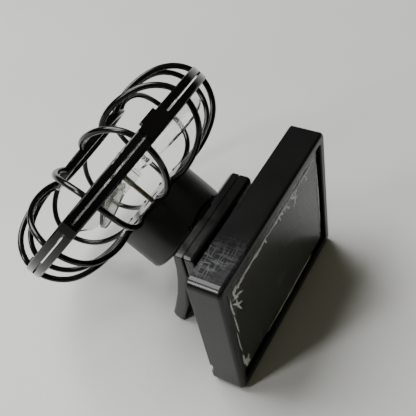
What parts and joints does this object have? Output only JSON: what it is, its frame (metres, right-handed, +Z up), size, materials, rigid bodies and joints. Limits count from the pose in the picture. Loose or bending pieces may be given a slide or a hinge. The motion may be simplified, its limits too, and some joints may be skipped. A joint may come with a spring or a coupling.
{
  "type": "solar clip-on fan",
  "caption": "Small fan in a round wire-like cage on a tilting motor pod, with a spring clip and a flat case holding a solar panel.",
  "frame": {"origin": "middle of the footprint, on the surface the case and the clip's lever stand on", "axes": "+Y out of the solar panel's front, +Z up, the fan towards -Y"},
  "size_m": [0.0746, 0.0796, 0.0711],
  "materials": {
    "case_plastic": "satin, lightly scratched",
    "clip_plastic": "satin",
    "cage_plastic": "glossy",
    "pod_plastic": "fine satin",
    "board": "matte laminate",
    "cells": "dark wafer",
    "resin": "clear, worn",
    "glue": "whitish, waxy",
    "clear_plastic": "translucent",
    "steel": "bright",
    "shaft_steel": "brownish, oiled",
    "zinc_can": "plated",
    "brass": "bright",
    "copper": "enamelled wire",
    "ferrite": "matte",
    "white_nylon": "matte",
    "wire_cover": "thin insulated wire"
  },
  "bodies": {
    "case": {"case_back": "case_plastic", "case_front": "case_plastic", "panel_board": "board", "solar_cells": "cells", "panel_resin": "resin", "panel_tabs": "brass", "case_leads": "wire_cover", "glue_beads": "glue", "clip_rear_jaw": "clip_plastic", "jaw_screws": "steel", "pivot_pin": "steel", "clip_spring": "steel"},
    "lever": {"clip_front_jaw": "clip_plastic", "tilt_pin": "steel"},
    "fan_head": {"front_hoop": "cage_plastic", "front_ribs": "cage_plastic", "front_ring": "cage_plastic", "rear_hoop": "cage_plastic", "rear_ribs": "cage_plastic", "pod_plate": "cage_plastic", "pod_shell": "pod_plastic", "motor_can": "zinc_can", "bearing_front": "brass", "motor_end_cap": "white_nylon", "bearing_rear": "brass", "magnet_ring": "ferrite", "motor_terminals": "brass", "pod_leads": "wire_cover"},
    "rotor": {"rotor_core": "zinc_can", "rotor_windings": "copper", "commutator": "copper", "motor_shaft": "shaft_steel", "impeller": "clear_plastic"}
  },
  "joints": [
    {"name": "clip_open", "type": "hinge", "parent": "case", "child": "lever", "pos_m": [0, 0.0247, 0.0186], "axis": [1, 0, 0], "range_deg": [0, 10], "stiffness_Nm_per_rad": 0.12, "springref_deg": -31.51},
    {"name": "head_tilt", "type": "hinge", "parent": "lever", "child": "fan_head", "pos_m": [0, 0.0152, 0.0316], "axis": [1, 0, 0], "range_deg": [0, 10]},
    {"name": "fan_spin", "type": "hinge", "parent": "fan_head", "child": "rotor", "pos_m": [0, -0.01227, 0.03995], "axis": [0, -0.771, 0.6369], "continuous": true}
  ]
}
